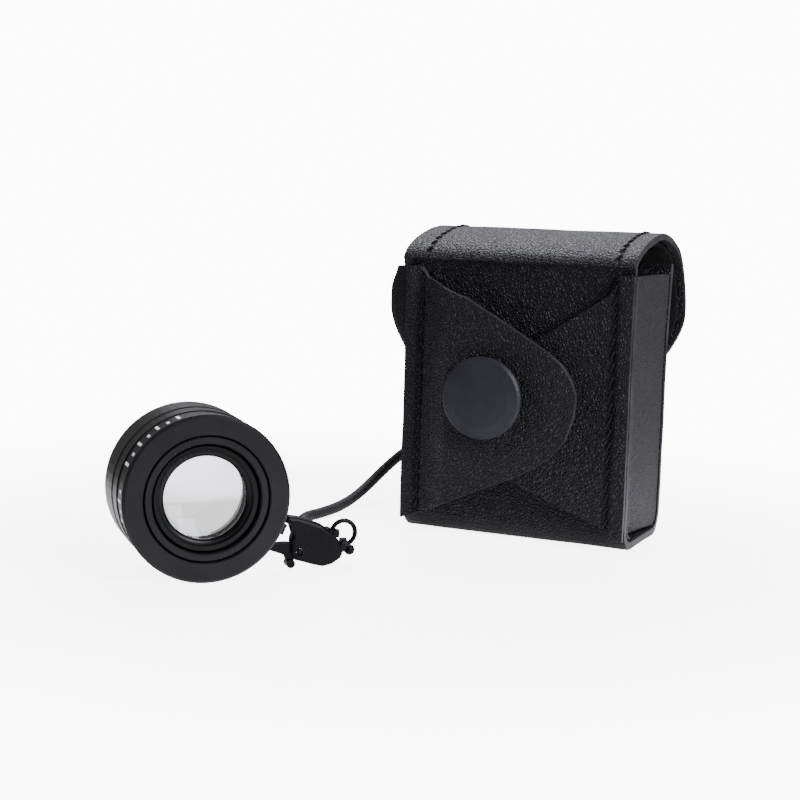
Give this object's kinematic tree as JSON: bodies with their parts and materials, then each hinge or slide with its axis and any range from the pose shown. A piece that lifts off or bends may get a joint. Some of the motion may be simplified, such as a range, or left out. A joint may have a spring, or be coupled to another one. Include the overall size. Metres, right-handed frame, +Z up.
{
  "type": "magnifier",
  "caption": "Round pocket magnifier tethered by a cord and clasp to an upright leather case with a hinged lid and a snap tongue.",
  "frame": {"origin": "middle of the flat bottom of the case", "axes": "+Z up, -Y out of the case's front, where the snap tongue is, +X to the right seen from the front"},
  "size_m": [0.0641, 0.091, 0.0501],
  "materials": {
    "black_leather": "pebbled, low sheen",
    "gusset_leather": "smooth, low sheen",
    "lining_leather": "matt, flesh side",
    "cap_coating": "matt coating",
    "bright_metal": "nickel plate",
    "anodised": "black anodised, turned",
    "lens_glass": "coated",
    "cord_fibre": "braided"
  },
  "bodies": {
    "case": {"case_body_wrap": "black_leather", "case_body_lining": "lining_leather", "gusset_left": "gusset_leather", "gusset_right": "gusset_leather", "outer_tongue_root": "black_leather", "inner_tongue_root": "black_leather", "lid_snap_stud": "bright_metal", "lid_stud_post": "bright_metal", "cord_tab": "black_leather", "tab_staple": "bright_metal"},
    "lid": {"lid_leather": "black_leather", "lid_lining": "lining_leather", "lid_snap_cap": "cap_coating", "lid_snap_socket": "bright_metal"},
    "outer_leaf": {"outer_tongue": "black_leather", "tongue_snap_cap": "cap_coating", "tongue_snap_socket": "bright_metal"},
    "inner_leaf": {"inner_tongue": "black_leather", "tongue_snap_stud": "bright_metal", "tongue_stud_post": "bright_metal"},
    "tether": {"tether_cord": "cord_fibre", "tab_crimp": "bright_metal", "ring_crimp": "bright_metal"},
    "ring": {"clasp_ring": "bright_metal"},
    "knob": {"swivel_knob": "bright_metal"},
    "clasp": {"clasp_body": "bright_metal", "clasp_pin": "bright_metal"},
    "gate": {"clasp_gate": "bright_metal"},
    "collar": {"lanyard_collar": "anodised"},
    "loupe": {"front_bezel": "anodised", "marked_band": "anodised", "face_ring": "anodised", "lens_cell": "anodised", "lens_retainer": "anodised", "lens_spacer": "anodised", "front_lens": "lens_glass", "rear_lens": "lens_glass", "rear_barrel": "anodised", "rear_ring": "anodised"}
  },
  "joints": [
    {"name": "lid_hinge", "type": "hinge", "parent": "case", "child": "lid", "pos_m": [0, -0.01095, 0.04355], "axis": [1, 0, 0], "range_deg": [0, 150]},
    {"name": "outer_tongue_hinge", "type": "hinge", "parent": "case", "child": "outer_leaf", "pos_m": [-0.0154, -0.01095, 0.022], "axis": [0, 0, -1], "range_deg": [0, 135]},
    {"name": "inner_tongue_hinge", "type": "hinge", "parent": "case", "child": "inner_leaf", "pos_m": [0.0154, -0.01085, 0.022], "axis": [0, 0, 1], "range_deg": [0, 27]},
    {"name": "tether_swing", "type": "hinge", "parent": "case", "child": "tether", "pos_m": [-0.0125, 0.0144, 0.0175], "axis": [0, 0, 1], "range_deg": [-60, 12]},
    {"name": "ring_swing", "type": "hinge", "parent": "tether", "child": "ring", "pos_m": [-0.01795, -0.03815, 0.00425], "axis": [0, 0, 1], "range_deg": [-8, 8]},
    {"name": "knob_swing", "type": "hinge", "parent": "ring", "child": "knob", "pos_m": [-0.01663, -0.03686, 0.0024], "axis": [0.7179, 0.6962, 0], "range_deg": [-8, 8]},
    {"name": "clasp_swivel", "type": "hinge", "parent": "knob", "child": "clasp", "pos_m": [-0.01445, -0.03914, 0.00233], "axis": [0.682, 0.6614, -0.312], "range_deg": [-12, 12]},
    {"name": "gate_hinge", "type": "hinge", "parent": "clasp", "child": "gate", "pos_m": [-0.02018, -0.04469, 0.0026], "axis": [-0.6962, 0.7179, 0], "range_deg": [0, 8], "stiffness_Nm_per_rad": 0.003, "springref_deg": -5.73},
    {"name": "collar_swing", "type": "hinge", "parent": "clasp", "child": "collar", "pos_m": [-0.02276, -0.0472, 0.00659], "axis": [0.3034, 0.2942, 0.9063], "range_deg": [-15, 15]},
    {"name": "loupe_spin", "type": "hinge", "parent": "collar", "child": "loupe", "pos_m": [-0.02632, -0.06019, 0.012], "axis": [0.6962, -0.7179, 0], "continuous": true}
  ],
  "couplings": [
    {"joint": "inner_tongue_hinge", "follows": "outer_tongue_hinge", "ratio": 0.2}
  ]
}
